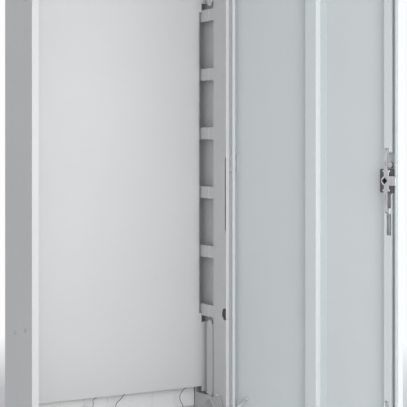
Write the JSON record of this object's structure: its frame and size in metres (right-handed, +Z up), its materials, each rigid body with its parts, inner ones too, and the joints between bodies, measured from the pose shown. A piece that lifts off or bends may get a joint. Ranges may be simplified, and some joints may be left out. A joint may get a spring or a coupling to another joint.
{
  "type": "industrial switchboard cabinet",
  "caption": "Floor-standing sheet-steel switchboard cabinet with mounting plate, slotted uprights and a right-hinged door with a rod lock.",
  "frame": {"origin": "centre of the cabinet body's footprint, at floor level", "axes": "+Z up, the open front faces -Y, the door hinges are on the +X side"},
  "size_m": [1.0125, 1.0368, 2.057],
  "materials": {
    "light_grey_paint": "fine-textured powder coat",
    "door_paint": "fine-textured powder coat, slightly cool",
    "plate_paint": "smooth satin coat",
    "zinc_steel": "satin zinc plate",
    "cast_steel": "zinc-plated steel, dull",
    "dark_steel": "blackened steel",
    "chrome": "polished",
    "black_plastic": "fine-grained moulding",
    "grey_plastic": "moulded",
    "black_rubber": "matt",
    "gasket_foam": "poured foam, matt",
    "lead_insulation": "flexible insulation"
  },
  "bodies": {
    "cabinet": {"left_side_wall": "light_grey_paint", "right_side_wall": "light_grey_paint", "roof_panel": "light_grey_paint", "base_frame": "light_grey_paint", "floor_fixing_plates": "zinc_steel", "gland_seals": "black_rubber", "gland_plates": "zinc_steel", "gland_plate_screws": "zinc_steel", "rear_panel": "light_grey_paint", "rear_panel_screws": "zinc_steel", "rear_base_rail": "light_grey_paint", "left_upright": "light_grey_paint", "right_upright": "light_grey_paint", "upright_caps": "grey_plastic", "side_plugs": "grey_plastic", "mounting_plate": "plate_paint", "plate_brackets": "light_grey_paint", "plate_studs": "zinc_steel", "plate_nuts": "zinc_steel", "earth_leads": "lead_insulation", "lifting_eyes": "cast_steel", "lifting_eye_nuts": "zinc_steel", "body_earth_stud": "zinc_steel", "hinge_body_leaves": "light_grey_paint", "hinge_pins": "zinc_steel"},
    "door": {"door_panel": "door_paint", "door_gasket": "gasket_foam", "lock_stile_lower": "door_paint", "lock_stile_upper": "door_paint", "door_bottom_rail": "door_paint", "door_top_rail": "door_paint", "door_stiffener": "door_paint", "hinge_door_leaves": "light_grey_paint", "door_earth_stud": "zinc_steel", "lock_housing": "black_plastic", "lock_cover": "zinc_steel", "handle_escutcheon": "black_plastic", "rod_guides": "black_plastic", "rod_clip": "zinc_steel"},
    "lock": {"lock_spindle": "dark_steel", "lock_cam": "zinc_steel", "door_handle": "black_plastic"},
    "upper_rod": {"upper_rod": "zinc_steel"},
    "lower_rod": {"lower_rod": "zinc_steel"},
    "key_barrel": {"key_barrel": "chrome"}
  },
  "joints": [
    {"name": "door_hinge", "type": "hinge", "parent": "cabinet", "child": "door", "pos_m": [0.395, -0.133, 1], "axis": [0, 0, 1], "range_deg": [-102, 10]},
    {"name": "lock_turn", "type": "hinge", "parent": "door", "child": "lock", "pos_m": [0.54989, -0.86172, 0.95], "axis": [-0.9781, -0.2079, 0], "range_deg": [-90, 0]},
    {"name": "upper_rod_slide", "type": "slide", "parent": "door", "child": "upper_rod", "axis": [0, 0, 1], "range_m": [-0.02, 0]},
    {"name": "lower_rod_slide", "type": "slide", "parent": "door", "child": "lower_rod", "axis": [0, 0, 1], "range_m": [0, 0.02]},
    {"name": "key_turn", "type": "hinge", "parent": "door", "child": "key_barrel", "pos_m": [0.54989, -0.86172, 1.002], "axis": [-0.9781, -0.2079, 0], "range_deg": [0, 90]}
  ],
  "couplings": [
    {"joint": "upper_rod_slide", "follows": "lock_turn", "m_per_rad": 0.01273},
    {"joint": "lower_rod_slide", "follows": "lock_turn", "m_per_rad": -0.01273}
  ]
}
